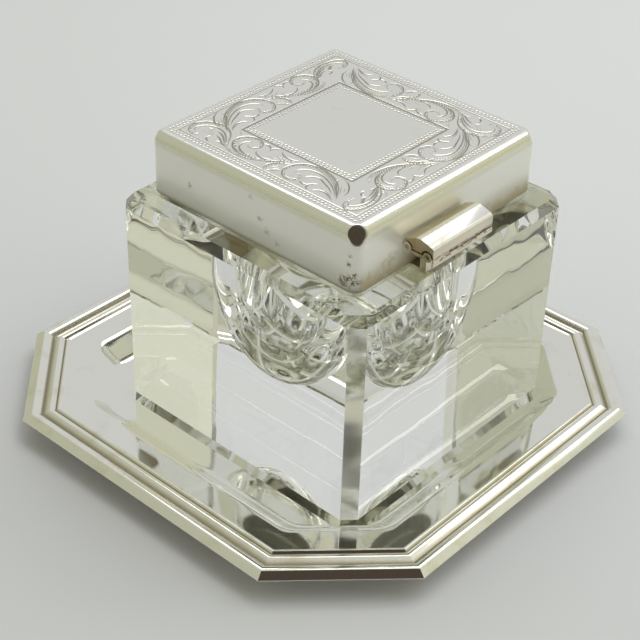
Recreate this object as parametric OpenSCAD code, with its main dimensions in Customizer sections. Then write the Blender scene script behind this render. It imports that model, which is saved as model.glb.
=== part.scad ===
// Desk inkstand: an octagonal silver tray with a square glass inkwell standing in it.
// The well has a silver collar bedded in plaster and a deep square silver lid on a double hinge.
// Origin: middle of the tray's underside, on the table. +Z is up and the hinge is on the +Y side.
// Millimetres.

/* [Tray] */
// Width of the tray across its long sides
tray_w = 127; // [124:0.5:135]
// Width of the tray across its short, cut sides
tray_cut_w = 144.4; // [141:0.2:150]
// Thickness of the sheet silver of the tray
tray_t = 1.0; // [0.8:0.1:1.4]
// Depth of the tray's well, from the flat border down to the floor
well_depth = 5.2; // [4.2:0.1:6]
// Distance from the tray's edge in to the edge of the well
border_w = 15.3; // [14.6:0.1:16]
// Radius of the well's corners
well_corner_r = 7; // [3:0.5:9]
// Width of the reeded moulding round the tray's edge
moulding_w = 8.8; // [8.4:0.1:9.6]

/* [Glass] */
// Width of the square glass block
glass_w = 73; // [68:0.5:74]
// Height of the glass block
glass_h = 56; // [52:0.5:60]
// Cut on each upright edge of the block, along each face
glass_edge_cut = 2.8; // [1.5:0.1:4]
// Width of the bevel round the top of the block
top_bevel_w = 1.5; // [0.8:0.1:2.5]
// Drop of the bevel round the top of the block
top_bevel_h = 2.1; // [0.8:0.1:3]
// Bevel round the foot of the block
foot_bevel = 1.5; // [0.5:0.1:2.5]
// Radius of the ink bowl's upper part and of the mouth
bowl_r = 21; // [20.5:0.1:22]
// Thickness of glass under the bowl
bowl_floor = 14.8; // [10:0.2:18]
// Height above the block's foot at which the bowl's side turns straight
bowl_shoulder = 41; // [36:0.5:44]
// The block's place in the tray
glass_centre = [-1.7, 2.7];

/* [Collar] */
// Thickness of the plaster bed under the collar
bed_t = 0.2; // [0.1:0.05:0.4]
// Width of the square collar plate
plate_w = 61.2; // [58:0.2:61.4]
// Thickness of the collar plate
plate_t = 1.0; // [0.8:0.1:1.4]
// Outer radius of the neck ring that reaches down into the glass
neck_r = 19.8; // [19:0.1:20]
// Wall of the neck ring
neck_t = 1.2; // [0.8:0.1:2]
// Depth of the neck ring below the top of the glass
neck_depth = 8; // [5:0.5:12]
// Outer radius of the bezel that stands up inside the lid
bezel_r = 22; // [21:0.1:24]
// Height of the bezel above the collar plate
bezel_h = 2.8; // [2:0.1:4]

/* [Lid] */
// Width of the square lid
lid_w = 61.6; // [61:0.2:64]
// Height of the lid
lid_h = 15.5; // [14:0.5:18]
// Thickness of the lid's walls and top
lid_t = 0.8; // [0.6:0.1:1.2]
// Radius of the lid's upright corners and of its top edge
lid_edge_r = 2.6; // [1.4:0.1:4]
// The lid's place against the middle of the glass
lid_shift = [-0.4, -0.6];
// Gap under the lid's rim when it is shut
lid_gap = 0.05; // [0.02:0.01:0.2]

/* [Hinge] */
// Start of the hinge along X, against the middle of the glass
hinge_start = -4.6; // [-12:0.2:0]
// Length of each outer knuckle
outer_knuckle_l = 6.6; // [5:0.1:8]
// Length of each middle knuckle
middle_knuckle_l = 7.0; // [5:0.1:8]
// Gap between knuckles
knuckle_gap = 0.1; // [0.05:0.01:0.2]
// Outer radius of the knuckle tubes
knuckle_r = 1.15; // [1.05:0.01:1.18]
// Radius of the hinge pins
pin_r = 0.55; // [0.4:0.01:0.7]
// Play round a pin in the knuckle that turns on it
pin_play = 0.05; // [0.02:0.01:0.08]
// The lid's pin: distance out from the lid's wall, and height above the glass
lid_pin_at = [1.2, 7.36];
// The collar's pin: distance out from the lid's wall, and height above the glass
collar_pin_at = [6.65, 7.07];

/* [Hidden] */
$fn = 96;

// Tray: half widths across its long sides and its cut sides
rim_a = tray_w / 2;
rim_b = tray_cut_w / 2;
border_z = tray_t + well_depth;
// The wall of the well slopes at 45 degrees, so its two faces are this far apart along the level
slope_t = tray_t * sqrt(2);
corner_steps = 6;

// Glass block: heights of its foot and its top
glass_z = tray_t;
glass_top = glass_z + glass_h;
// Half width across the cut upright edges
glass_cut_a = (glass_w - glass_edge_cut) / sqrt(2);
// The bevels run a little wider over the cut edges, where two of them meet
corner_bevel_extra = 0.35;
bowl_steps = 20;

// Collar and lid
plate_z = glass_top + bed_t;
plate_top = plate_z + plate_t;
lid_z = plate_top + lid_gap;
lid_centre = glass_centre + lid_shift;
bed_inset = 0.7;

// Hinge: the outside of the lid's wall, and where the knuckles start and end along X
wall_y = lid_centre.y + lid_w / 2;
first_x = glass_centre.x + hinge_start;
middle_x = first_x + outer_knuckle_l + knuckle_gap;
last_x = middle_x + middle_knuckle_l + knuckle_gap;
hinge_l = last_x + outer_knuckle_l - first_x;
tube_fn = 48;
// Room left round a knuckle that the piece beside it turns past
knuckle_room = 0.15;

// Points of an octagon with its corners rounded: a and b are the half widths, r the corner radius
function octagon_points(a, b, r) = [
    for (side = [0:7])
        let (
            long = side % 2 == 0,
            near = long ? a : b,
            next = long ? b : a,
            // Corner after this side, found where the two inset sides cross
            along = (next - r) * sqrt(2) - (near - r),
            turn = 45 * side,
            cx = (near - r) * cos(turn) - along * sin(turn),
            cy = (near - r) * sin(turn) + along * cos(turn)
        )
        for (step = [0:corner_steps])
            let (angle = turn + 45 * step / corner_steps)
                [cx + r * cos(angle), cy + r * sin(angle)]
];

module octagon_slab(a, b, r, z, t) {
    translate([0, 0, z]) linear_extrude(t) polygon(octagon_points(a, b, r));
}

// The space between two parallel octagons, one over the other, with sloping sides
module octagon_dish(inset, z0, z1, grow) {
    sliver = 0.01;
    hull() {
        octagon_slab(rim_a - inset - (z1 - z0) + grow, rim_b - inset - (z1 - z0) + grow,
                     well_corner_r, z0, sliver);
        octagon_slab(rim_a - inset + grow, rim_b - inset + grow,
                     well_corner_r, z1 - sliver, sliver);
    }
}

module tray_pan() {
    color("silver") difference() {
        union() {
            octagon_dish(border_w, 0, well_depth, slope_t - tray_t);
            linear_extrude_border();
        }
        octagon_dish(border_w - 0.01, tray_t, border_z + 0.01, 0);
    }
}

// The flat border, out to the moulding: a plain octagon with sharp corners
module linear_extrude_border() {
    a = rim_a - moulding_w;
    b = rim_b - moulding_w;
    translate([0, 0, well_depth]) linear_extrude(tray_t)
        intersection() {
            square(2 * a, center = true);
            rotate(45) square(2 * b, center = true);
        }
}

// Section of the reeded moulding, as distance in from the tray's edge and height:
// three steps with a groove between each pair, then a slope down to a thin lip
reed_section = [
    [moulding_w, border_z], [moulding_w - 1.2, border_z - 0.4],
    [moulding_w - 1.5, border_z + 0.2], [5.8, border_z + 0.3],
    [4.1, border_z - 0.3],
    [3.8, border_z + 0.5], [2.2, border_z + 0.62], [1.4, border_z + 0.35],
    [0.6, border_z - 0.05], [0, border_z - 0.5], [0, border_z - 0.7],
    [0.8, well_depth], [moulding_w, well_depth],
];

// One length of the moulding, along the side whose half width is near, mitred at both ends
module moulding_length(near, next) {
    outer_half = next * sqrt(2) - near;
    inner_half = outer_half - moulding_w * (sqrt(2) - 1);
    intersection() {
        translate([near, outer_half, 0]) rotate([90, 0, 0])
            linear_extrude(2 * outer_half) polygon([for (p = reed_section) [-p[0], p[1]]]);
        linear_extrude(2 * border_z) polygon([
            [near - moulding_w, -inner_half], [near, -outer_half],
            [near, outer_half], [near - moulding_w, inner_half],
        ]);
    }
}

module border_long_lengths() {
    color("gainsboro") for (turn = [0:90:270])
        rotate(turn) moulding_length(rim_a, rim_b);
}

module border_short_lengths() {
    color("lightgray") for (turn = [45:90:315])
        rotate(turn) moulding_length(rim_b, rim_a);
}

// Side view of the block, half width a: a bevel at the foot and a steeper one at the top
module block_profile(a, extra) {
    polygon([
        [-a + foot_bevel + extra, 0], [a - foot_bevel - extra, 0], [a, foot_bevel],
        [a, glass_h - top_bevel_h], [a - top_bevel_w - extra, glass_h],
        [-a + top_bevel_w + extra, glass_h], [-a, glass_h - top_bevel_h], [-a, foot_bevel],
    ]);
}

// The side view carried straight through the block, turned about Z
module block_prism(a, extra, turn) {
    rotate(turn) translate([0, glass_w, 0]) rotate([90, 0, 0])
        linear_extrude(2 * glass_w) block_profile(a, extra);
}

module glass_block() {
    color("lightcyan") translate([glass_centre.x, glass_centre.y, glass_z]) difference() {
        intersection() {
            block_prism(glass_w / 2, 0, 0);
            block_prism(glass_w / 2, 0, 90);
            block_prism(glass_cut_a, corner_bevel_extra, 45);
            block_prism(glass_cut_a, corner_bevel_extra, -45);
        }
        rotate_extrude() polygon(concat(
            [for (step = [0:bowl_steps])
                let (angle = 90 * step / bowl_steps)
                    [bowl_r * sin(angle),
                     bowl_shoulder - (bowl_shoulder - bowl_floor) * cos(angle)]],
            [[bowl_r, glass_h + 1], [0, glass_h + 1]]
        ));
    }
}

// A ring about the middle of the glass
module ring(outer, inner, z0, z1) {
    translate([glass_centre.x, glass_centre.y, z0]) difference() {
        cylinder(r = outer, h = z1 - z0);
        translate([0, 0, -1]) cylinder(r = inner, h = z1 - z0 + 2);
    }
}

// A square slab with round upright corners about the lid's middle
module rounded_slab(w, r, z, t) {
    half = w / 2 - r;
    translate([lid_centre.x, lid_centre.y, z]) {
        translate([-w / 2, -half, 0]) cube([w, 2 * half, t]);
        translate([-half, -w / 2, 0]) cube([2 * half, w, t]);
        for (x = [-half, half], y = [-half, half])
            translate([x, y, 0]) cylinder(r = r, h = t);
    }
}

module plaster_bed() {
    bed_w = plate_w - 2 * bed_inset;
    color("ivory") difference() {
        union() {
            rounded_slab(bed_w, lid_edge_r, glass_top, bed_t);
            // Down between the neck ring and the glass
            ring(bowl_r, neck_r, glass_top - neck_depth + 1, glass_top + bed_t);
            // Under the foot of the hinge leaf
            translate([leaf_x, wall_y - 2, glass_top])
                cube([leaf_l, leaf_back - bed_inset + 2, bed_t]);
        }
        translate([glass_centre.x, glass_centre.y, 0]) cylinder(r = neck_r, h = glass_top + 9);
    }
}

module collar_plate() {
    color("silver") difference() {
        rounded_slab(plate_w, lid_edge_r, plate_z, plate_t);
        translate([glass_centre.x, glass_centre.y, 0]) cylinder(r = neck_r, h = plate_top + 9);
        // Cut back for the foot of the hinge leaf
        translate([leaf_x, wall_y - leaf_seat, plate_z - 1]) cube([leaf_l, 9, plate_t + 2]);
    }
}

module collar_neck() {
    color("gainsboro")
        ring(neck_r, neck_r - neck_t, glass_top - neck_depth, plate_top + bezel_h);
}

module collar_bezel() {
    band = bezel_r - neck_r;
    color("silver") translate([glass_centre.x, glass_centre.y, 0]) rotate_extrude()
        translate([neck_r, plate_top]) intersection() {
            square([band, bezel_h]);
            // Rounded over at its top outer edge
            union() {
                square([band - 1, bezel_h]);
                square([band, bezel_h - 1]);
                translate([band - 1, bezel_h - 1]) circle(r = 1, $fn = 32);
            }
        }
}

// Hinge: everything is drawn in the plane across it, out from the lid's wall and up from the
// glass, and carried along X from x0 over a length
module across(x0, length) {
    translate([x0, wall_y, glass_top]) rotate([90, 0, 90]) linear_extrude(length) children();
}

module rod(at, r, x0, length) {
    translate([x0, wall_y + at.x, glass_top + at.y]) rotate([0, 90, 0])
        cylinder(r = r, h = length, $fn = tube_fn);
}

// The two outer knuckles on a pin, as plain rods or as tubes
module outer_rods(at, r, room = 0) {
    rod(at, r, first_x - room, outer_knuckle_l + 2 * room);
    rod(at, r, last_x - room, outer_knuckle_l + 2 * room);
}

module middle_rod(at, r, room = 0) {
    rod(at, r, middle_x - room, middle_knuckle_l + 2 * room);
}

module whole_rod(at, r) {
    rod(at, r, first_x - 1, hinge_l + 2);
}

// Leaf: a foot on the glass, an upright between the two rows of knuckles, and an arm out to
// each outer knuckle
leaf_seat = 0.4;
leaf_front = 2.5;
leaf_back = 4.1;
leaf_top = 6.5;
leaf_inset = 3.2;
leaf_x = first_x + leaf_inset;
leaf_l = hinge_l - 2 * leaf_inset;
arm_z = collar_pin_at.y - 0.8;
arm_t = 0.8;

module hinge_leaf() {
    color("darkkhaki") difference() {
        union() {
            across(leaf_x, leaf_l) {
                translate([-leaf_seat, bed_t]) square([leaf_back + leaf_seat, plate_t]);
                translate([leaf_front, bed_t]) square([leaf_back - leaf_front, leaf_top - bed_t]);
            }
            for (x0 = [first_x, last_x]) across(x0, outer_knuckle_l)
                translate([leaf_front, arm_z]) square([collar_pin_at.x - leaf_front, arm_t]);
        }
        outer_rods(collar_pin_at, knuckle_r, 1);
    }
}

module leaf_knuckles() {
    color("silver") difference() {
        outer_rods(collar_pin_at, knuckle_r);
        whole_rod(collar_pin_at, pin_r);
    }
}

// The collar's pin, with a slot across the end that faces the viewer
module collar_pin() {
    slot_w = 0.25;
    slot_depth = 0.35;
    color("peru") difference() {
        rod(collar_pin_at, pin_r, first_x, hinge_l);
        translate([first_x + hinge_l - slot_depth, wall_y + collar_pin_at.x,
                   glass_top + collar_pin_at.y])
            rotate([40, 0, 0]) cube([2, slot_w, 4 * pin_r], center = true);
    }
}

// Link: a cast cover over both pins, open below, whose outer wall hides the collar's knuckles
link_outline = [
    [0.6, 7.4], [0.6, 9.25], [3.4, 10.5], [4.6, 10.6], [7.5, 9.7], [8.2, 9.1],
    [8.2, 5.0], [7.9, 5.0], [7.9, 7.4],
];

module hinge_link() {
    color("khaki") difference() {
        across(first_x, hinge_l) polygon(link_outline);
        outer_rods(lid_pin_at, knuckle_r + knuckle_room, knuckle_gap);
        outer_rods(collar_pin_at, knuckle_r + knuckle_room, knuckle_gap);
        middle_rod(lid_pin_at, knuckle_r, 2 * knuckle_gap);
        middle_rod(collar_pin_at, knuckle_r, 2 * knuckle_gap);
    }
}

module link_knuckles() {
    color("gainsboro") for (at = [lid_pin_at, collar_pin_at]) difference() {
        middle_rod(at, knuckle_r);
        whole_rod(at, pin_r + pin_play);
    }
}

// A square cap with round upright corners and a round top edge, standing on z = 0
module rounded_cap(w, h, r) {
    half = w / 2 - r;
    translate([-half, -half, 0]) cube([2 * half, 2 * half, h]);
    for (turn = [0:90:270]) rotate(turn) {
        translate([0, -half, 0]) cube([w / 2, 2 * half, h - r]);
        translate([half, half, 0]) cylinder(r = r, h = h - r, $fn = tube_fn);
        translate([half, half, h - r]) sphere(r = r, $fn = tube_fn);
        translate([half, half, h - r]) rotate([90, 0, 0])
            cylinder(r = r, h = 2 * half, $fn = tube_fn);
    }
}

module lid_shell() {
    color("silver") translate([lid_centre.x, lid_centre.y, lid_z]) difference() {
        rounded_cap(lid_w, lid_h, lid_edge_r);
        translate([0, 0, -1])
            rounded_cap(lid_w - 2 * lid_t, lid_h - lid_t + 1, lid_edge_r - lid_t);
    }
}

// Bearer: the strip soldered to the lid's wall that carries the lid's knuckles
module lid_bearer() {
    color("darkkhaki") difference() {
        across(first_x, hinge_l) polygon([[0, 5.0], [0.5, 5.0], [1.5, 6.0], [1.5, 7.36], [0, 7.36]]);
        outer_rods(lid_pin_at, knuckle_r, 1);
        rod(lid_pin_at, knuckle_r + knuckle_room, middle_x - knuckle_gap,
            middle_knuckle_l + 2 * knuckle_gap);
    }
}

module lid_knuckles() {
    color("silver") difference() {
        outer_rods(lid_pin_at, knuckle_r);
        whole_rod(lid_pin_at, pin_r);
    }
}

module lid_pin() {
    color("peru") rod(lid_pin_at, pin_r, first_x, hinge_l);
}

tray_pan();
border_long_lengths();
border_short_lengths();
glass_block();
plaster_bed();
collar_plate();
collar_neck();
collar_bezel();
hinge_leaf();
leaf_knuckles();
collar_pin();
hinge_link();
link_knuckles();
lid_shell();
lid_bearer();
lid_knuckles();
lid_pin();
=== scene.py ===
import math

import bmesh
import bpy
import numpy as np
from mathutils import Matrix, Vector


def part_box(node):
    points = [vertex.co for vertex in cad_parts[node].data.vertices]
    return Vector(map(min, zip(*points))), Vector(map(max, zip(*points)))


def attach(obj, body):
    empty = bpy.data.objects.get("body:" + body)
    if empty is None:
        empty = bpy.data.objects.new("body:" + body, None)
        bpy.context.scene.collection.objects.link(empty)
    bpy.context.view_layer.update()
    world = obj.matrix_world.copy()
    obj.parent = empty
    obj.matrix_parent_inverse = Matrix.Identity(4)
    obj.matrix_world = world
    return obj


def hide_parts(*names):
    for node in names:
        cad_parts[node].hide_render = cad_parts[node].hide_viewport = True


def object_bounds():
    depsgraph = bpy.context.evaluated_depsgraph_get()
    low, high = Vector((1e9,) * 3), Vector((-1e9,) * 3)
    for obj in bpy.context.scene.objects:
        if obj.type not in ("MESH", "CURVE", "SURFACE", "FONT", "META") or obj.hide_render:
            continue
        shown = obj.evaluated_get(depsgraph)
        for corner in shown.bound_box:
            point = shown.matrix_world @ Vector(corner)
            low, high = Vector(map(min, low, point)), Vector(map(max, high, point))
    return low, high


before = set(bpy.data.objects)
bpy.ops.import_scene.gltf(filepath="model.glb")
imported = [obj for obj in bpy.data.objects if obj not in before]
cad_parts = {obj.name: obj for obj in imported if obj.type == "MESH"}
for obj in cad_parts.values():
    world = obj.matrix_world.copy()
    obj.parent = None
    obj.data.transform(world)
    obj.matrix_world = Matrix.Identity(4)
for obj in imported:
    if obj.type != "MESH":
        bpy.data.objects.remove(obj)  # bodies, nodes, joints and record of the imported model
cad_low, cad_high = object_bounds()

mm = 0.001

# --- Camera ---------------------------------------------------------------------------------
# The view of the photograph: off the corner between the hinge side and the side to its left,
# looking down at 35 degrees with the camera tipped a little to one side.
view_azimuth = math.radians(41.21)
view_elevation = math.radians(35.22)
view_distance = 383.3 * mm
view_field = math.radians(22.80)
view_roll = math.radians(1.78)
aim = Vector((1.3, -0.7, 21.9)) * mm

towards_camera = Vector((
    math.cos(view_azimuth) * math.cos(view_elevation),
    math.sin(view_azimuth) * math.cos(view_elevation),
    math.sin(view_elevation),
))
level_right = Vector((-math.sin(view_azimuth), math.cos(view_azimuth), 0))
level_up = towards_camera.cross(level_right)
camera_right = level_right * math.cos(view_roll) + level_up * math.sin(view_roll)
camera_up = level_up * math.cos(view_roll) - level_right * math.sin(view_roll)
turn = Matrix((camera_right, camera_up, towards_camera)).transposed()


def placed(name, data):
    """A new object with this data, put into the scene."""
    made = bpy.data.objects.new(name, data)
    bpy.context.scene.collection.objects.link(made)
    return made


camera_data = bpy.data.cameras.new("camera")
camera_data.lens = camera_data.sensor_width / 2 / math.tan(view_field / 2)
camera_data.clip_start = 10 * mm
camera = placed("camera", camera_data)
camera.matrix_world = Matrix.Translation(aim + towards_camera * view_distance) @ turn.to_4x4()
bpy.context.scene.camera = camera
bpy.context.scene.view_settings.view_transform = "Standard"


# --- Table, room and lamps ------------------------------------------------------------------
# A pale matt table top in a soft pale room, which is dimmer and warmer on the camera's side.
# A broad lamp behind the piece and a narrow one above it draw the bright lines in the silver,
# and the even light of the ceiling throws the shadow towards the camera's left.
class Wire:
    """A shader socket that can stand in a sum: each operator adds its Math node."""

    def __init__(self, tree, socket):
        self.tree = tree
        self.socket = socket

    def math(self, operation, first, second=0.0):
        made = self.tree.nodes.new("ShaderNodeMath")
        made.operation = operation
        plug(self.tree, made.inputs[0], first)
        plug(self.tree, made.inputs[1], second)
        return Wire(self.tree, made.outputs[0])

    def __add__(self, other):
        return self.math("ADD", self, other)

    def __sub__(self, other):
        return self.math("SUBTRACT", self, other)

    def __rsub__(self, other):
        return self.math("SUBTRACT", other, self)

    def __mul__(self, other):
        return self.math("MULTIPLY", self, other)

    def __abs__(self):
        return self.math("ABSOLUTE", self)

    __radd__ = __add__
    __rmul__ = __mul__


def plug(tree, place, value):
    """Links a wire to a socket, or sets the socket to a plain value."""
    if isinstance(value, Wire):
        tree.links.new(value.socket, place)
    elif place.type == "RGBA":
        place.default_value = (*value, 1.0)
    else:
        place.default_value = value


class Shader:
    """The nodes of one finish, or of the sky, as they are put together."""

    def __init__(self, owner):
        owner.use_nodes = True
        self.owner = owner
        self.tree = owner.node_tree
        self.tree.nodes.clear()

    def node(self, kind, settings=None, values=None, out=0):
        """Adds a node and gives the wire from one of its outputs, if it has any."""
        made = self.tree.nodes.new("ShaderNode" + kind)
        for name, setting in (settings or {}).items():
            setattr(made, name, setting)
        for name, value in (values or {}).items():
            plug(self.tree, made.inputs[name], value)
        return Wire(self.tree, made.outputs[out]) if made.outputs else None

    def mix(self, factor, first, second):
        """From the first colour to the second as factor goes from 0 to 1."""
        return self.node("Mix", {"data_type": "RGBA"}, {0: factor, 6: first, 7: second}, out=2)

    def step(self, value, low, high):
        """0 below low, 1 above high and smooth between."""
        return self.node("MapRange", {"interpolation_type": "SMOOTHSTEP"},
                         {"Value": value, "From Min": low, "From Max": high})

    def place(self):
        """Where a point of the piece is, in metres, in the piece's own frame."""
        return self.node("TexCoord", out="Object")

    def distance(self, point, spot):
        """How far a point is from a spot."""
        return self.node("VectorMath", {"operation": "DISTANCE"}, {0: point, 1: spot},
                         out="Value")

    def along(self, point, axis):
        """How far a point or a direction reaches along an axis."""
        return self.node("VectorMath", {"operation": "DOT_PRODUCT"}, {0: point, 1: tuple(axis)},
                         out="Value")

    def stretched(self, point, x, y, z):
        return self.node("Mapping", values={"Vector": point, "Scale": (x, y, z)})

    def noise(self, point, size, detail=3.0, rough=0.5):
        """Smooth noise from 0 to 1 whose blots are about size across, in metres."""
        return self.node("TexNoise", values={
            "Vector": point, "Scale": 1 / size, "Detail": detail, "Roughness": rough})

    def bump(self, height, depth, under=None):
        """Normals of a surface raised by height, 0 to 1, times depth in metres."""
        values = {"Height": height, "Distance": depth, "Strength": 1.0}
        if under is not None:
            values["Normal"] = under
        return self.node("Bump", values=values)

    def surface(self, **values):
        """Closes the finish with one Principled shader; names have _ for each space."""
        named = {name.replace("_", " "): value for name, value in values.items()}
        self.node("OutputMaterial", values={"Surface": self.node("BsdfPrincipled", values=named)})
        return self.owner


floor_half = 2.2  # metres
floor_colour = (0.81, 0.82, 0.85)

floor_mesh = bpy.data.meshes.new("table_top")
floor_mesh.from_pydata(
    [(-floor_half, -floor_half, 0), (floor_half, -floor_half, 0),
     (floor_half, floor_half, 0), (-floor_half, floor_half, 0)], [], [(0, 1, 2, 3)])
floor = placed("table_top", floor_mesh)
table = Shader(bpy.data.materials.new("table_top"))
floor_mesh.materials.append(table.surface(Base_Color=floor_colour, Roughness=0.9,
                                          Specular_IOR_Level=0.1))

sky_far = (0.67, 0.68, 0.68)
sky_left = (0.50, 0.51, 0.40)
sky_right_low = (0.62, 0.61, 0.46)
sky_right_high = (0.70, 0.71, 0.58)
sky_near = (0.41, 0.40, 0.33)
sky_top = (0.62, 0.62, 0.56)
sky_shade = (0.07, 0.055, 0.045)
ahead = Vector((-math.cos(view_azimuth), -math.sin(view_azimuth), 0))
overhead = Vector((0, 0, 1))

sky = Shader(bpy.data.worlds.new("room"))
heading = sky.node("TexCoord", out="Generated")
forward = sky.along(heading, ahead)
across = sky.along(heading, level_right)
up = sky.along(heading, overhead)
sky_right = sky.mix(sky.step(up, 0.2, 0.6), sky_right_low, sky_right_high)
sides = sky.mix(sky.step(across, -0.6, 0.6), sky_left, sky_right)
through = sky.node("LightPath", out="Is Transmission Ray")
near_side = sky.mix(through * 0.7, sky_near, sky_right_low)
near_and_sides = sky.mix(sky.step(forward, -0.8, -0.2), near_side, sides)
far_share = sky.step(forward, 0.15, 0.6) * sky.step(across, -0.55, -0.35)
all_round = sky.mix(far_share, near_and_sides, sky_far)
with_top = sky.mix(sky.step(up, 0.75, 0.95), all_round, sky_top)
# A dark patch behind and above the camera, which shows in the silver and not through the glass
behind = sky.step(forward, 0.02, -0.08) * sky.step(abs(across), 0.42, 0.28)
shade = behind * sky.step(up, -0.1, 0.1) * (1 - through)
room = sky.mix(shade, with_top, sky_shade)
glow = sky.node("Background", values={"Color": room, "Strength": 1.0})
sky.node("OutputWorld", values={"Surface": glow})
bpy.context.scene.world = sky.owner


def lamp(name, forward, side, height, wide, deep, power):
    """A flat lamp that faces straight down, its wide edge across the view: metres and watts."""
    data = bpy.data.lights.new(name, "AREA")
    data.shape = "RECTANGLE"
    data.size = wide
    data.size_y = deep
    data.energy = power
    made = placed(name, data)
    made.location = ahead * forward + level_right * side + overhead * height
    made.rotation_euler = (0, 0, view_azimuth + math.pi / 2)
    made.visible_camera = False
    return made


broad = lamp("broad_lamp", forward=0.235, side=0.19, height=0.5, wide=0.82, deep=0.13, power=0.71)
broad.visible_transmission = False
lamp("top_lamp", forward=0.015, side=0.10, height=0.5, wide=0.20, deep=0.035, power=0.07)
# The ceiling's light is too even to show in the silver or through the glass
fill = lamp("fill_lamp", forward=0.3, side=0.9, height=1.2, wide=1.6, deep=1.6, power=5.5)
fill.data.color = (0.93, 0.96, 1.0)
fill.visible_glossy = False
fill.visible_transmission = False
# Light crosses the glass, and is thrown back by the silver under it, many times over
bpy.context.scene.cycles.max_bounces = 32
bpy.context.scene.cycles.glossy_bounces = 24
bpy.context.scene.cycles.transmission_bounces = 32


# --- Tray -----------------------------------------------------------------------------------
# One sheet of silver, pressed down in the middle into a well with sloping sides and round
# corners. Its flat border runs out to the moulding, to which the edge is soldered.
def piece(name, points, faces, body, slot, finish, *stands_for, sharp=30):
    """A mesh piece that rides on a body and stands for CAD nodes, with hard edges past an angle."""
    mesh = bpy.data.meshes.new(name)
    mesh.from_pydata([tuple(p) for p in points], [], faces)
    mesh.materials.append(finish)
    made = placed(name, mesh)
    clean = bmesh.new()
    clean.from_mesh(mesh)
    bmesh.ops.recalc_face_normals(clean, faces=clean.faces)
    clean.to_mesh(mesh)
    clean.free()
    mesh.shade_smooth()
    mesh.set_sharp_from_angle(angle=math.radians(sharp))
    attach(made, body)
    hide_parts(*stands_for)
    return made


def bands(rings, closed=False):
    """Faces between rings of points that all have the same count, numbered one after another."""
    count = len(rings[0])
    pairs = [(k, (k + 1) % len(rings)) for k in range(len(rings) - (0 if closed else 1))]
    return [(a * count + i, a * count + (i + 1) % count,
             b * count + (i + 1) % count, b * count + i)
            for a, b in pairs for i in range(count)]


def filleted(corners, steps=5):
    """An outline through (x, y, radius) corners, each rounded by an arc of that radius."""
    outline = []
    for k, (x, y, radius) in enumerate(corners):
        here = Vector((x, y))
        if radius == 0:
            outline.append(here)
            continue
        back = (Vector(corners[k - 1][:2]) - here).normalized()
        on = (Vector(corners[(k + 1) % len(corners)][:2]) - here).normalized()
        half = back.angle(on) / 2
        reach = radius / math.tan(half)
        centre = here + (back + on).normalized() * (radius / math.sin(half))
        first = here + back * reach - centre
        last = here + on * reach - centre
        sweep = first.angle_signed(last)
        for step in range(steps + 1):
            spin = Matrix.Rotation(-sweep * step / steps, 2)
            outline.append(centre + spin @ first)
    return outline


class Silver(Shader):
    """Silver, polished by hand: faint blotches of tarnish, fine scratches and soft unevenness.
    stained is the share of the surface that the stain colour reaches."""

    def __init__(self, name, colour, roughness, stain, stained):
        super().__init__(bpy.data.materials.new(name))
        self.point = self.place()
        blotches = self.noise(self.point, 9 * mm, 4.0, 0.6)
        specks = self.noise(self.point, 0.9 * mm, 2.0)
        veil = self.step(blotches, 0.62 - stained * 0.4, 0.95 - stained * 0.4)
        self.tone = self.mix(veil * (0.55 + 0.45 * specks), colour, stain)
        self.shine = roughness + 0.08 * veil + 0.03 * self.noise(self.point, 3 * mm, 2.0)
        lines = self.noise(self.stretched(self.point, 1.0, 0.06, 1.0), 0.25 * mm, 2.0)
        cross = self.noise(self.stretched(self.point, 0.08, 1.0, 1.0), 0.3 * mm, 2.0)
        uneven = self.bump(self.noise(self.point, 14 * mm, 1.0), 0.03 * mm)
        self.normal = self.bump(lines + cross, 0.0008 * mm, uneven)

    def tarnish(self, share, colour, dull=0.0):
        """Turns a share of the surface to another colour, and dulls it."""
        self.tone = self.mix(share, self.tone, colour)
        self.shine = self.shine + dull * share

    def coordinate(self, axis):
        return self.node("SeparateXYZ", values={"Vector": self.point}, out=axis)

    def near(self, x, y, z, radius):
        """1 at a spot given in mm and 0 past the radius, with a ragged edge."""
        gap = self.distance(self.point, (x * mm, y * mm, z * mm))
        rag = self.noise(self.point, 0.3 * radius * mm, 4.0, 0.7)
        return self.step(gap + rag * (3.0 * radius * mm), 2.0 * radius * mm, 1.6 * radius * mm)

    def around(self, y, z, radius):
        """1 within a radius of a line along X, all in metres."""
        flat = self.node("VectorMath", {"operation": "MULTIPLY"}, {0: self.point, 1: (0, 1, 1)})
        return self.step(self.distance(flat, (0, y, z)), radius, radius - 0.08 * mm)

    def done(self, metal=1.0):
        return self.surface(Base_Color=self.tone, Metallic=metal, Roughness=self.shine,
                            Normal=self.normal)


# Half widths of the whole tray, across its long sides and across its short ones
rim_long = cad_high.x
rim_short = 72.2 * mm
corner_steps = 8
tray_silver = Silver("tray_silver", (0.86, 0.86, 0.80), 0.04, (0.74, 0.73, 0.60), 0.18)


def on_circle(middle, radius, arc, height):
    """The point of a level circle at an angle of its arc."""
    return (middle.x + radius * math.cos(arc), middle.y + radius * math.sin(arc), height)


def tray_ring(inset, radius, height):
    """An octagon parallel to the tray's edge, with rounded corners, as points."""
    ring = []
    for side in range(8):
        near, onward = (rim_long, rim_short) if side % 2 == 0 else (rim_short, rim_long)
        near -= inset + radius
        onward -= inset + radius
        angle = math.radians(45 * side)
        along = onward * math.sqrt(2) - near
        centre = Vector((near * math.cos(angle) - along * math.sin(angle),
                         near * math.sin(angle) + along * math.cos(angle)))
        for step in range(corner_steps + 1):
            arc = angle + math.radians(45) * step / corner_steps
            ring.append(on_circle(centre, radius, arc, height))
    return ring


well_radius = 7 * mm
border_radius = 0.05 * mm
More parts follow.
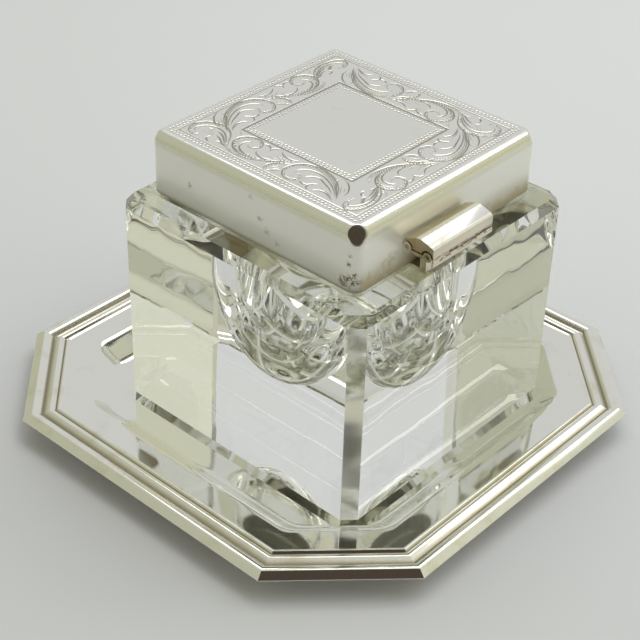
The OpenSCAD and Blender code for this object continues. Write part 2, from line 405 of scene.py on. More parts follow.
# In mm: heights over the table, and how far in from the tray's edge things lie
sheet = 1.0
border_top = 6.2
border_under = border_top - sheet
solder_line = 8.8
well_lip = 15.3
well_foot = 20.5
flat_floor = 24.0
under_shift = 0.4  # the sheet's slope stands this much further out underneath
# Across the sheet: from the moulding in over the border and down to the floor, then back
# underneath, as distance in, height and rounding
top_line = filleted([(solder_line, border_top, 0), (well_lip, border_top, 3.2),
                     (well_foot, sheet, 4.0), (flat_floor, sheet, 0)], 10)
under_line = filleted([(flat_floor, 0, 0), (well_foot - under_shift, 0, 5.0),
                       (well_lip - under_shift, border_under, 2.2), (solder_line, border_under, 0)],
                      10)
tray_rings = []
for spot in top_line + under_line:
    inwards = min(1.0, max(0.0, (spot.x - solder_line) / (well_lip - solder_line)))
    corner = border_radius + (well_radius - border_radius) * inwards ** 3
    tray_rings.append(tray_ring(spot.x * mm, corner, spot.y * mm))
tray_points = [p for ring in tray_rings for p in ring]
ring_count = len(tray_rings[0])
tray_faces = bands(tray_rings, closed=True)
# The floor inside the innermost rings, above and below
inner_top = len(top_line) - 1
tray_faces = [f for f in tray_faces
              if not (f[0] // ring_count == inner_top and f[3] // ring_count == inner_top + 1)]
tray_faces.append(tuple(range(inner_top * ring_count, (inner_top + 1) * ring_count)))
tray_faces.append(tuple(range((inner_top + 1) * ring_count, (inner_top + 2) * ring_count)))
piece("pressed_tray", tray_points, tray_faces, "tray", "tray_sheet_silver", tray_silver.done(),
      "tray_pan")

# --- Reeded moulding ------------------------------------------------------------------------
# Eight lengths of drawn silver moulding, mitred and soldered round the tray's edge: a narrow
# reed, a round one and a broad one that slopes to a thin lip, with a dark groove between each.
grooves = (7.6, 4.45)
groove_width = 0.24
# In mm, as distance in from the tray's edge, height and rounding
reed_section = filleted([
    (solder_line, border_top, 0), (8.2, 6.5, 0.3), (grooves[0], 5.85, 0.1), (6.79, 6.81, 1.2),
    (grooves[1], 5.8, 0.1), (2.83, 7.27, 1.8), (0.05, 5.6, 0.1), (0.1, 5.35, 0.06),
    (0.8, border_under, 0.15), (solder_line, border_under, 0),
], 9)
top_side = 5.4  # the section's points above this height, in mm, lie on its top
reed_silver = Silver("reed_silver", (0.88, 0.87, 0.80), 0.09, (0.66, 0.62, 0.44), 0.35)
# Darker down in the grooves: partly tarnish that polishing never reaches, partly painted shade
groove_tarnish_and_shade = reed_silver.node("Attribute", {"attribute_name": "groove"}, out="Fac")
reed_silver.tarnish(reed_silver.step(groove_tarnish_and_shade, 0.05, 0.8), (0.36, 0.32, 0.22), 0.2)
reed_finish = reed_silver.done()


def moulding(name, first_turn, near, onward, stands_for):
    """Four lengths of the moulding, on every other side of the octagon, mitred at the ends."""
    points, faces = [], []
    for side in range(4):
        angle = math.radians(first_turn + 90 * side)
        out = Vector((math.cos(angle), math.sin(angle), 0))
        along = Vector((-math.sin(angle), math.cos(angle), 0))
        ends = []
        for sign in (-1, 1):
            for spot in reed_section:
                inset = spot.x * mm
                half = (onward - inset) * math.sqrt(2) - (near - inset)
                ends.append(out * (near - inset) + along * (sign * half)
                            + Vector((0, 0, spot.y * mm)))
        count = len(reed_section)
        start = len(points)
        points += ends
        faces += [tuple(start + i for i in f) for f in bands([range(count)] * 2)]
        faces += [tuple(range(start, start + count)),
                  tuple(range(start + count, start + 2 * count))]
    made = piece(name, points, faces, "tray", "reeded_silver", reed_finish, stands_for, sharp=50)
    depth = [max(0.0, max(1 - abs(spot.x - groove) / groove_width for groove in grooves))
             * (spot.y > top_side) for spot in reed_section]
    groove = made.data.attributes.new("groove", "FLOAT", "POINT")
    groove.data.foreach_set("value", depth * (len(points) // len(depth)))


moulding("long_reeds", 0, rim_long, rim_short, "border_long_lengths")
moulding("short_reeds", 45, rim_short, rim_long, "border_short_lengths")

# --- Glass block ----------------------------------------------------------------------------
# A heavy square block of clear glass, pressed with a round bowl in its top, then cut flat on
# all sides with a chamfer down each upright edge and a bevel round the top and the foot. It
# stands loose on the tray.
glass_low, glass_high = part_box("glass_block")
glass_low.z += 0.03 * mm  # it rests on the tray's high spots
glass_mid = (glass_low + glass_high) / 2
glass_half = (glass_high.x - glass_low.x) / 2
edge_cut = 2.8 * mm
# Bevels, as their width on the level face and their drop on the upright one
top_bevel = (1.5 * mm, 2.1 * mm)
foot_bevel = (1.5 * mm, 1.5 * mm)
bevel_extra = 0.35 * mm  # more width where they cross a chamfer
bowl_radius = 21 * mm
bowl_foot = 15.8 * mm
bowl_shoulder = 42 * mm

block = bmesh.new()
bmesh.ops.create_cube(block, size=1.0, matrix=Matrix.Translation(glass_mid)
                      @ Matrix.Diagonal((*(glass_high - glass_low), 1.0)))


def slice_off(mesh, normal, distance):
    """Cuts the block along a plane, out from the middle of its axis, and closes the cut."""
    normal = Vector(normal)
    spot = Vector((glass_mid.x, glass_mid.y, 0)) + normal * distance
    everything = mesh.verts[:] + mesh.edges[:] + mesh.faces[:]
    cut = bmesh.ops.bisect_plane(mesh, geom=everything, plane_co=spot, plane_no=normal,
                                 clear_outer=True)
    edges = [e for e in cut["geom_cut"] if isinstance(e, bmesh.types.BMEdge)]
    bmesh.ops.edgeloop_fill(mesh, edges=edges)


for turn_by in range(0, 360, 45):
    straight = turn_by % 90 == 0
    angle = math.radians(turn_by)
    side = Vector((math.cos(angle), math.sin(angle), 0))
    reach = glass_half if straight else (2 * glass_half - edge_cut) / math.sqrt(2)
    extra = 0 if straight else bevel_extra
    if not straight:
        slice_off(block, side, reach)
    for (width, drop), level, sign in ((top_bevel, glass_high.z, 1), (foot_bevel, glass_low.z, -1)):
        width += extra
        slope = (side * drop + Vector((0, 0, sign * width))).normalized()
        on_edge = side * reach + Vector((0, 0, level - sign * drop))
        slice_off(block, slope, on_edge.dot(slope))
for face in block.faces:
    face.smooth = False

# The bowl: a round-bottomed hollow, with the slow ripples that the mould left in its wall. Each
# ripple has a count round the bowl, a depth in mm, a lean and a start, and fades near the neck.
ripples = ((4, 0.16, 0.15, 2.0), (9, 0.02, 0.10, 0.0))
smooth_neck = 9 * mm
fade_length = 8 * mm
over_top = 1 * mm  # the hollow runs out past the top, so that the cut is clean
bowl = bmesh.new()
bowl_around = 180
bowl_rows = 56
wall_rows = 12
rows = []
for row in range(1, bowl_rows + wall_rows + 1):
    if row <= bowl_rows:
        sweep = math.pi / 2 * row / bowl_rows
        radius = bowl_radius * math.sin(sweep)
        height = bowl_shoulder - (bowl_shoulder - bowl_foot) * math.cos(sweep)
    else:
        share = (row - bowl_rows) / wall_rows
        radius = bowl_radius
        height = bowl_shoulder + (glass_high.z + over_top - bowl_shoulder) * share
    below_neck = (glass_high.z - smooth_neck - height) / fade_length
    fade = min(1.0, radius / bowl_radius) * min(1.0, max(0.0, below_neck))
    ring = []
    for k in range(bowl_around):
        arc = 2 * math.pi * k / bowl_around
        ripple = sum(depth * math.sin(number * arc + lean * height / mm + start)
                     for number, depth, lean, start in ripples)
        ring.append(on_circle(glass_mid, radius + ripple * fade * mm, arc, height))
    rows.append(ring)
for ring in rows:
    for p in ring:
        bowl.verts.new(p)
foot = bowl.verts.new((glass_mid.x, glass_mid.y, bowl_foot))
bowl.verts.ensure_lookup_table()
for f in bands(rows):
    bowl.faces.new([bowl.verts[i] for i in f])
for k in range(bowl_around):
    bowl.faces.new([foot, bowl.verts[k], bowl.verts[(k + 1) % bowl_around]])
last_row = (len(rows) - 1) * bowl_around
bowl.faces.new([bowl.verts[last_row + k] for k in range(bowl_around)])
bmesh.ops.recalc_face_normals(bowl, faces=bowl.faces)
for face in bowl.faces:
    face.smooth = True


def turned_out(name, made):
    """An object with the shape that was worked up as a bmesh."""
    mesh = bpy.data.meshes.new(name)
    made.to_mesh(mesh)
    made.free()
    return placed(name, mesh)


def bore_out(thing, tools):
    """Takes the shape of each tool out of a thing, and the tools away. Gives the new mesh."""
    for tool in tools:
        cutter = thing.modifiers.new(tool.name, "BOOLEAN")
        cutter.object = tool
        cutter.operation = "DIFFERENCE"
        cutter.solver = "EXACT"
    bored = thing.evaluated_get(bpy.context.evaluated_depsgraph_get())
    thing_mesh = bpy.data.meshes.new_from_object(bored)
    thing.modifiers.clear()
    thing.data = thing_mesh
    for tool in tools:
        bpy.data.objects.remove(tool)
    return thing_mesh


bmesh.ops.recalc_face_normals(block, faces=block.faces)
glass = turned_out("cut_glass_block", block)
carved = bore_out(glass, [turned_out("bowl_hollow", bowl)])
carved.materials.clear()
carved.set_sharp_from_angle(angle=math.radians(30))

clear = Shader(bpy.data.materials.new("clear_glass"))
in_glass = clear.place()
smear = clear.noise(in_glass, 12 * mm, 3.0)
wave = clear.noise(in_glass, 15 * mm, 1.0)
# The upright chamfers are ground and less clear: they lie furthest out along the two diagonals
from_middle = clear.node("VectorMath", {"operation": "SUBTRACT"},
                         {0: in_glass, 1: tuple(glass_mid)})
to_each_side = clear.node("VectorMath", {"operation": "ABSOLUTE"}, {0: from_middle})
out_along = clear.along(to_each_side, (1, 1, 0))
chamfer_at = 2 * glass_half - edge_cut
ground = clear.step(out_along, chamfer_at - 0.06 * mm, chamfer_at - 0.03 * mm)
carved.materials.append(clear.surface(
    Base_Color=clear.mix(smear, (0.985, 0.99, 0.985), (0.965, 0.975, 0.955)),
    Roughness=0.16 * ground, IOR=1.52, Transmission_Weight=1.0,
    Normal=clear.bump(wave, 0.11 * mm)))
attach(glass, "inkwell")
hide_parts("glass_block")

# --- Collar ---------------------------------------------------------------------------------
# A square silver plate on top of the glass, with a ring soldered to it that reaches down into
# the mouth, and a round bezel that stands up inside the lid.
collar_silver = Silver("collar_silver", (0.90, 0.89, 0.84), 0.12, (0.66, 0.58, 0.40), 0.35).done()


def refinish(finish, *nodes):
    """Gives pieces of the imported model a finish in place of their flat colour."""
    for node in nodes:
        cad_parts[node].data.materials.clear()
        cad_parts[node].data.materials.append(finish)


refinish(collar_silver, "collar_plate", "collar_neck", "collar_bezel")

# --- Plaster bed ----------------------------------------------------------------------------
# Plaster was spread round the mouth and the collar pressed down in it. It shows pale through the
# glass, and brown where it came out past the collar's edge and has aged.
plaster = Shader(bpy.data.materials.new("plaster"))
grain = plaster.noise(plaster.place(), 0.6 * mm, 4.0)
glass_axis = (glass_mid.x, glass_mid.y, glass_high.z)
from_axis = plaster.distance(plaster.place(), glass_axis)
aged = plaster.step(from_axis, 24.6 * mm, 25.4 * mm)
plaster_tone = plaster.mix(grain, (0.88, 0.88, 0.82), (0.80, 0.79, 0.71))
aged_tone = plaster.mix(grain, (0.62, 0.50, 0.26), (0.50, 0.40, 0.20))
plaster_finish = plaster.surface(
    Base_Color=plaster.mix(aged, plaster_tone, aged_tone), Roughness=0.9,
    Normal=plaster.bump(grain, 0.05 * mm))
# It grips the glass: its skin lies this much inside, so that no film of air shows between them
grip = 0.03 * mm
bed_low, bed_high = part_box("plaster_bed")
neck_outside = 19.8 * mm
bed_reach = 23.8 * mm
squeezed_out = 6.5 * mm
squeezed_at = math.radians(222)
squeezed_narrow = 30  # a higher power makes the lobe narrower
uneven_edge = 0.3 * mm
bed_around = 144
bed_rings = []
for radius, height, outside in (
        (neck_outside, bed_low.z, False), (bowl_radius + grip, bed_low.z, False),
        (bowl_radius + grip, glass_high.z - grip, False), (bed_reach, glass_high.z - grip, True),
        (bed_reach, bed_high.z, True), (neck_outside, bed_high.z, False)):
    ring = []
    for k in range(bed_around):
        arc = 2 * math.pi * (k + 0.5) / bed_around
        wide = radius
        if outside:
            # One lobe was squeezed out towards a corner
            wide += uneven_edge * math.sin(5 * arc)
            wide += squeezed_out * max(0.0, math.cos(arc - squeezed_at)) ** squeezed_narrow
        ring.append(on_circle(glass_mid, wide, arc, height))
    bed_rings.append(ring)
piece("plaster_seat", [p for ring in bed_rings for p in ring], bands(bed_rings, closed=True),
      "inkwell", "plaster", plaster_finish, "plaster_bed")

# --- Lid ------------------------------------------------------------------------------------
# A deep square box of sheet silver, open below, raised with round corners and a round top edge
# and polished. A scroll of leaves is cut by hand round its top, between ruled squares.
lid_low, lid_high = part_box("lid_shell")
lid_mid = (lid_low + lid_high) / 2
lid_half = (lid_high.x - lid_low.x) / 2
lid_round = 2.6 * mm
lid_wall = 0.8 * mm
rim_round = 0.2 * mm
plate_half = lid_half - lid_round
cells = 376  # of the net that the top is made of, along each side
arc_steps = 12

# The engraver's strokes on one side of the lid, as (out from the middle, along the side) in mm.
# They lie in the band between two ruled squares: a bud and a curled leaf, a bud and a stem that
# curls the other way, and a leaf that fills the corner. Each stroke is a curve through its points.
inner_square = 16.4
second_rule = 0.35
outer_square = 26.2
deep_strokes = [
    # Curled leaf, from the corner inwards: its back, then its two lobes
    [(25.4, 19.6), (22.6, 17.8), (20.2, 15.9), (18.2, 13.2), (17.0, 10.0), (16.9, 6.9), (18.0, 4.2),
     (20.0, 2.6), (22.4, 2.3), (24.4, 3.5), (25.2, 5.4), (24.5, 7.2), (22.9, 7.6), (21.7, 6.6),
     (22.0, 5.6)],
    [(25.3, 18.6), (24.2, 16.6), (23.8, 14.8), (24.4, 13.2), (25.4, 12.6)],
    [(25.5, 12.2), (25.1, 11.1), (24.1, 10.6), (23.0, 11.2), (22.2, 12.2)],
    [(23.6, 17.2), (22.0, 14.9), (21.0, 12.6), (20.3, 10.8), (20.6, 9.4), (21.6, 8.2), (22.9, 7.7)],
    [(24.0, 10.5), (24.3, 9.2), (23.7, 7.9)],
    [(23.9, 18.0), (21.6, 15.8), (19.8, 12.8), (18.8, 9.6), (19.1, 6.9), (20.4, 5.2), (21.6, 4.8),
     (22.8, 5.3)],
    # Buds
    [(22.5, 19.0), (20.2, 18.6), (18.1, 17.0), (17.0, 15.2), (16.8, 13.9)],
    [(16.8, 13.9), (18.5, 14.1), (20.3, 15.3), (22.0, 17.0), (24.3, 18.9)],
    [(19.4, 2.4), (20.9, 1.0), (21.9, -0.5), (23.4, -1.4), (25.0, -1.2), (25.9, -0.4)],
    [(23.0, 2.2), (24.4, 1.4), (25.7, -0.2)],
    # Stem and its curl, with two lobes
    [(17.3, 3.5), (19.3, 1.6), (21.0, -0.8), (22.9, -2.9), (24.5, -5.6), (25.3, -8.8),
     (25.1, -12.0), (23.9, -14.4)],
    [(22.2, -2.6), (23.6, -5.2), (24.3, -8.2), (23.9, -11.2), (22.2, -13.4), (19.9, -14.1),
     (17.9, -13.0), (16.9, -10.9), (17.4, -8.8), (19.0, -7.6), (20.7, -8.1), (21.3, -9.6),
     (20.6, -10.8)],
    [(23.7, -6.2), (23.6, -9.0), (22.4, -11.2), (20.6, -11.7), (19.2, -11.0), (18.7, -10.0)],
    [(17.8, 3.0), (18.6, 1.0), (18.6, -1.0), (17.9, -2.4), (17.1, -3.2)],
    [(17.0, -3.3), (17.3, -4.6), (18.4, -5.3), (19.3, -4.8)],
    [(18.3, -5.4), (17.5, -6.8), (17.7, -8.4)],
    [(21.6, -1.8), (22.4, -3.9), (22.1, -6.2), (20.7, -7.5)],
]
fine_strokes = [
    [(21.9, 17.0), (19.3, 14.0), (17.7, 10.8), (17.4, 7.5), (18.4, 4.8), (20.3, 3.1)],
    [(24.9, 19.0), (22.2, 16.8), (19.9, 14.2), (18.3, 11.0), (17.9, 7.8), (18.8, 5.2), (20.7, 3.6),
     (22.6, 3.7), (23.8, 5.0)],
    [(24.6, 18.4), (23.4, 15.6), (23.0, 13.8), (22.1, 12.3)],
    [(18.6, 15.5), (20.6, 16.9), (22.6, 18.4)],
    [(19.4, 17.0), (21.2, 18.3)],
    [(21.6, 1.2), (23.2, 0.5), (24.6, -0.5)],
    [(22.4, 1.8), (23.8, 1.2), (25.0, 0.2)],
    [(24.9, -9.6), (23.4, -12.4), (21.2, -13.1), (19.2, -12.6), (18.1, -11.2), (18.3, -9.4)],
    [(24.5, -8.6), (23.3, -11.6), (21.4, -12.4), (19.8, -12.1)],
    [(20.3, -0.4), (20.9, -2.6), (20.6, -4.6)],
    [(19.4, 0.6), (19.8, -1.4), (19.4, -3.2)],
    [(19.0, -14.4), (17.9, -15.0), (17.0, -16.2)],
]
corner_strokes = [
    [(24.9, -12.6), (22.4, -14.4), (19.9, -16.2), (18.3, -18.6), (18.0, -21.4), (19.2, -24.2),
     (21.6, -25.7), (24.2, -25.1), (25.5, -23.2), (25.2, -21.6), (24.2, -21.4)],
    [(24.2, -13.8), (21.7, -15.9), (20.0, -18.4), (19.7, -21.2), (21.0, -23.4), (22.9, -24.2),
     (24.2, -23.2), (24.0, -22.0)],
    [(24.0, -14.2), (22.0, -16.4), (20.9, -18.6), (20.8, -20.4)],
    [(24.2, -14.6), (22.9, -16.6), (22.0, -18.8)],
    [(24.6, -13.0), (24.0, -15.2), (24.3, -16.8)],
    [(25.3, -17.3), (25.2, -18.5), (24.3, -19.2), (23.1, -18.8)],
]
# Where the band is turned over, the corner's leaf is drawn narrower, clear of its neighbour
narrow_start = 20.2
narrow_share = 0.64
# Half widths and depths of the strokes in mm, how finely they are worked out along their length,
# and how bluntly they run out at their ends
stroke_width = {"deep": 0.30, "fine": 0.22, "rule": 0.24, "dash": 0.32, "tick": 0.19}
stroke_depth = {"deep": 0.15, "fine": 0.09, "rule": 0.12, "dash": 0.14, "tick": 0.13}
stroke_step = 0.06
stroke_taper = 0.4
spots, half_widths, depths = [], [], []


def engrave(points, kind, taper=True):
    """One stroke of the graver through points on the lid's top, in mm from its middle."""
    points = [Vector(p) for p in points]
    path = [2 * points[0] - points[1], *points, 2 * points[-1] - points[-2]]
    cut = []
    for a, b, c, d in zip(path, path[1:], path[2:], path[3:]):
        count = max(2, int((c - b).length / stroke_step))
        for k in range(count):
            t = k / count
            cut.append(0.5 * (2 * b + (c - a) * t + (2 * a - 5 * b + 4 * c - d) * t ** 2
                              + (3 * b - a - 3 * c + d) * t ** 3))
    cut.append(points[-1])
    for k, spot in enumerate(cut):
        share = math.sin(math.pi * (k + 0.5) / len(cut)) ** stroke_taper if taper else 1.0
        spots.append(spot)
        half_widths.append(stroke_width[kind] * share)
        depths.append(stroke_depth[kind] * share)


def on_side(stroke, side, corner=False):
    """A stroke laid on one side of the lid. On every other side the band is turned over."""
    laid = []
    for out, along_by in stroke:
        if side % 2:
            out = inner_square + outer_square - out
            if corner:
                out = narrow_start + (out - inner_square) * narrow_share
        laid.append(Matrix.Rotation(math.radians(90 * side), 2) @ Vector((out, along_by)))
    return laid


tick_pitch = 0.62
tick_gap = 0.16
tick_across = 0.62
tick_along = 0.42


def shade_inside(stroke):
    """Short strokes side by side along the inside of a curled stroke, leaning onwards."""
    for before, here, after in zip(stroke, stroke[1:], stroke[2:]):
        onward = after - before
        inward = Vector((-onward.y, onward.x)).normalized()
        if inward.dot(before + after - 2 * here) < 0:
            inward = -inward
        number = max(1, int((after - here).length / tick_pitch))
        for k in range(number):
            start = here.lerp(after, k / number) + inward * tick_gap
            engrave([start, start + inward * tick_across + onward.normalized() * tick_along],
                    "tick")


shaded_strokes = (deep_strokes[0][1:], deep_strokes[8], deep_strokes[10], deep_strokes[11])
# Staggered rows of short dashes inside the inner square and outside the outer one, as how far
# out a row lies and how much its dashes slant
dash_rows = ((15.5, 0.1), (14.7, -0.1), (27.0, 0.1), (27.8, -0.1))
dash_pitch = 1.02
dash_stagger = 0.25  # of the pitch
dash_half = 0.25
# The shading in the corner's curl: its first short stroke, and from each to the next
curl_strokes = 6
curl_start = Vector((21.3, -22.0))
curl_length = Vector((-0.75, 1.3))
curl_pitch = Vector((0.35, 0.34))
for side in range(4):
    for stroke in deep_strokes:
        engrave(on_side(stroke, side), "deep")
    for stroke in shaded_strokes:
        shade_inside(on_side(stroke, side))
    shade_inside(on_side(corner_strokes[0], side, corner=True))
    for stroke in fine_strokes:
        engrave(on_side(stroke, side), "fine")
    for stroke in corner_strokes:
        engrave(on_side(stroke, side, corner=True), "deep")
    for k in range(curl_strokes):
        start = curl_start + curl_pitch * k
        engrave(on_side([start, start + curl_length], side, corner=True), "tick")
    turned = Matrix.Rotation(math.radians(90 * side), 2)
    for square in (inner_square, inner_square - second_rule, outer_square):
        engrave([turned @ Vector((square, -square)), turned @ Vector((square, square))],
                "rule", taper=False)
    for row, (out, slant) in enumerate(dash_rows):
        number = int(2 * out / dash_pitch)
        stagger = dash_stagger if row % 2 else -dash_stagger
        for k in range(number):
            along_by = (k - (number - 1) / 2 + stagger) * dash_pitch
            engrave([turned @ Vector((out - slant, along_by - dash_half)),
                     turned @ Vector((out + slant, along_by + dash_half))], "dash")

# The strokes pressed into the net of the top: how deep each point of the net lies, in mm
spots = np.array(spots)
half_widths = np.array(half_widths)
depths = np.array(depths)
cell = 2 * plate_half / mm / cells
places = np.rint(spots / cell).astype(int)
sunk = np.zeros((cells + 1, cells + 1))
reach = int(max(stroke_width.values()) / cell) + 1
for right in range(-reach, reach + 1):
    for up_by in range(-reach, reach + 1):
        column = np.clip(places[:, 0] + right, -cells // 2, cells // 2)
        row = np.clip(places[:, 1] + up_by, -cells // 2, cells // 2)
        off = np.hypot(column * cell - spots[:, 0], row * cell - spots[:, 1])
        groove = depths * np.cos(np.clip(off / half_widths, 0, 1) * math.pi / 2) ** 2
        np.maximum.at(sunk, (row + cells // 2, column + cells // 2), groove)
# The silver between the strokes is left softly rounded
softenings = 4
softened_share = 0.5
pillow = sunk.copy()
for axis in (0, 1) * softenings:
    pillow = (np.roll(pillow, 1, axis) + pillow + np.roll(pillow, -1, axis)) / 3
sunk = sunk + softened_share * pillow


def lid_ring(half, radius, height):
    """A rounded square of points round the lid's middle, with as many on each side as the top."""
    ring = []
    flat = half - radius
    for side in range(4):
        angle = math.radians(90 * side)
        out = Vector((math.cos(angle), math.sin(angle), 0))
        along = Vector((-math.sin(angle), math.cos(angle), 0))
        middle = Vector((lid_mid.x, lid_mid.y, height))
        for k in range(cells + 1):
            ring.append(middle + out * half + along * flat * (2 * k / cells - 1))
        corner = middle + out * flat + along * flat
        for step in range(1, arc_steps):
            arc = math.radians(90) * step / arc_steps
            ring.append(corner + (out * math.cos(arc) + along * math.sin(arc)) * radius)
    return ring


# Each upper corner is hammered a little flat, the front one most: the flat's depth in mm, by the
# corner's signs along X and Y, how far it leans back, and how softly it runs out
corner_flat = {(1, 1): 1.15, (-1, 1): 0.7, (1, -1): 0.25, (-1, -1): 0.5}
corner_lean = math.radians(25)
flat_edge = 0.25 * mm


def hammered(point):
    """A point of the lid's outside, moved in where it stands proud of its corner's flat."""
    way = (math.copysign(1, point.x - lid_mid.x), math.copysign(1, point.y - lid_mid.y))
    facing = Vector((way[0] * math.sqrt(0.5), way[1] * math.sqrt(0.5), 0)) * math.cos(corner_lean)
    facing += overhead * math.sin(corner_lean)
    centre = Vector((lid_mid.x + way[0] * plate_half, lid_mid.y + way[1] * plate_half,
                     lid_high.z - lid_round))
    proud = (point - centre).dot(facing) - lid_round + corner_flat[way] * mm
    return point - facing * (proud ** 2 / (proud + flat_edge)) if proud > 0 else point


# Over the round top edge, down the wall, round the rim and up inside. The flats need rings close
# under the edge, given by their drop from the top in mm.
wall_drops = (3.2, 3.9, 4.7, 5.6, 9)
lid_rings = []
for step in range(1, arc_steps + 1):
    arc = math.radians(90) * step / arc_steps
    round_by = lid_round * math.sin(arc)
    lid_rings.append(lid_ring(plate_half + round_by, round_by,
                              lid_high.z - lid_round * (1 - math.cos(arc))))
lid_rings += [lid_ring(lid_half, lid_round, lid_high.z - drop * mm) for drop in wall_drops]
lid_rings = [[hammered(p) for p in ring] for ring in lid_rings]
inside = lid_half - lid_wall
inside_round = lid_round - lid_wall
cove = 0.4 * mm
ceiling_round = 0.05 * mm
ceiling_margin = 0.3 * mm
lid_rings += [
    lid_ring(lid_half, lid_round, lid_low.z + rim_round),
    lid_ring(lid_half - rim_round, lid_round - rim_round, lid_low.z),
    lid_ring(inside + rim_round, inside_round + rim_round, lid_low.z),
    lid_ring(inside, inside_round, lid_low.z + rim_round),
    lid_ring(inside, inside_round, lid_high.z - wall_drops[-1] * mm),
    lid_ring(inside - cove, lid_round, lid_high.z - 1.5 * lid_round),
    lid_ring(plate_half, ceiling_round, lid_high.z - lid_wall),
    lid_ring(plate_half - ceiling_margin, ceiling_round, lid_high.z - lid_wall),
]
lid_points = [p for ring in lid_rings for p in ring]
lid_faces = bands(lid_rings)
per_ring = len(lid_rings[0])
last_ring = (len(lid_rings) - 1) * per_ring
lid_faces.append(tuple(range(last_ring, last_ring + per_ring)))
# The flat top as a fine net, joined to the first ring all round
net = len(lid_points)
for row in range(cells + 1):
    for column in range(cells + 1):
        lid_points.append(Vector((lid_mid.x + plate_half * (2 * column / cells - 1),
                                  lid_mid.y + plate_half * (2 * row / cells - 1),
                                  lid_high.z - sunk[row, column] * mm)))


def net_point(row, column):
    return net + row * (cells + 1) + column


for row in range(cells):
    for column in range(cells):
        lid_faces.append((net_point(row, column), net_point(row, column + 1),
                          net_point(row + 1, column + 1), net_point(row + 1, column)))
side_count = cells + arc_steps
for side in range(4):
    for k in range(side_count):
        here = side * side_count + k
        onward = (here + 1) % per_ring
        # The net's points that these two meet: along the side one each, at the corner the same
        meets = []
        for index in (k, k + 1):
            along_by = min(index, cells)
            meets.append([net_point(along_by, cells), net_point(cells, cells - along_by),
                          net_point(cells - along_by, 0), net_point(0, along_by)][side])
        if meets[0] == meets[1]:
            lid_faces.append((here, onward, meets[0]))
        else:
            lid_faces.append((here, onward, meets[1], meets[0]))
lid_silver = Silver("lid_silver", (0.88, 0.87, 0.815), 0.10, (0.68, 0.65, 0.50), 0.15)
below_top = lid_high.z - lid_silver.coordinate("Z")
over_rim = lid_silver.coordinate("Z") - lid_low.z
# The walls carry a thin dull film, thickest towards the foot, which the top and the hammered flat
# of the front corner have lost
front_flat = (lid_mid.x + plate_half + 0.9 * mm, lid_mid.y + plate_half + 0.9 * mm,
              lid_high.z - 1.95 * mm)
off_flat = lid_silver.distance(lid_silver.point, front_flat)
film = (lid_silver.step(below_top, 1.15 * mm, 2.55 * mm)
        * lid_silver.step(off_flat, 2.2 * mm, 2.6 * mm))
thick_film = lid_silver.step(over_rim, 7.75 * mm, 2.75 * mm)
lid_silver.tarnish(film, (0.98, 0.98, 0.90), 0.22)
# A painted yellow reflection in a band under the edge, a satin top, and darkness in the cuts
painted_reflection_under_edge = (lid_silver.step(below_top, 3.95 * mm, 2.75 * mm)
              * lid_silver.step(below_top, 0.75 * mm, 1.55 * mm))
lid_silver.tarnish(painted_reflection_under_edge * 0.7, (0.84, 0.83, 0.64))
lid_silver.shine = lid_silver.shine + 0.06 * lid_silver.step(below_top, 0.75 * mm, 0.25 * mm)
cut = lid_silver.node("Attribute", {"attribute_name": "cut"}, out="Fac")
lid_silver.tarnish(lid_silver.step(cut, 0.12, 0.85), (0.36, 0.34, 0.28), 0.22)
# Brown along the rim, partly tarnish and partly a painted reflection of the glass top, and a paler
# band, also partly tarnish and partly painted reflection, that climbs the wall on the hinge's side
smoke = lid_silver.noise(lid_silver.point, 3 * mm, 4.0, 0.65)
rim_tarnish_and_reflection = lid_silver.step(over_rim, 1.15 * mm, 0.15 * mm)
lid_silver.tarnish(rim_tarnish_and_reflection * 0.8, (0.52, 0.47, 0.30), 0.1)
hinge_side = lid_silver.step(lid_silver.coordinate("Y"), lid_high.y - 0.4 * mm,
                             lid_high.y - 0.1 * mm)
hinge_tarnish_and_reflection = lid_silver.step(over_rim, 5.25 * mm, 0.55 * mm) * hinge_side
lid_silver.tarnish(hinge_tarnish_and_reflection * lid_silver.step(smoke, 0.1, 0.6), (0.74, 0.65, 0.42), 0.1)
# Dark stains on the wall to the left of the hinge's, most of them at the front corner, and
# yellow ones on the hinge's wall: place along the wall and height, both in mm, size and strength
dark_stains = (
    (-16.1, 64.6, 1.4, 0.6), (2.4, 69.4, 1.4, 0.3), (5.2, 65.2, 1.8, 0.5), (7.4, 62.8, 1.8, 0.4),
    (10.5, 61.0, 1.4, 0.4), (31.6, 61.2, 3.4, 1.0), (29.3, 60.4, 2.6, 0.8), (30.6, 65.0, 1.5, 0.9),
    (30.8, 67.2, 1.0, 0.7),
)
yellow_stains = ((25.0, 60.6, 3.4, 0.8), (18.5, 61.8, 4.4, 0.7), (-26.0, 60.0, 4.0, 0.6))
for y, z, radius, strength in dark_stains:
    stain = lid_silver.near(lid_high.x / mm, y, z, radius)
    lid_silver.tarnish(stain * strength, (0.26, 0.20, 0.11), 0.15)
for x, z, radius, strength in yellow_stains:
    stain = lid_silver.near(x, lid_high.y / mm, z, radius)
    lid_silver.tarnish(stain * strength, (0.80, 0.68, 0.38), 0.10)
lid = piece("engraved_lid", lid_points, lid_faces, "lid", "lid_silver",
            lid_silver.done(1 - 0.6 * film - 0.32 * thick_film), "lid_shell", sharp=100)
cut_share = np.zeros(len(lid_points))
cut_share[net:] = (sunk / max(stroke_depth.values())).ravel()
lid.data.attributes.new("cut", "FLOAT", "POINT").data.foreach_set("value", cut_share)

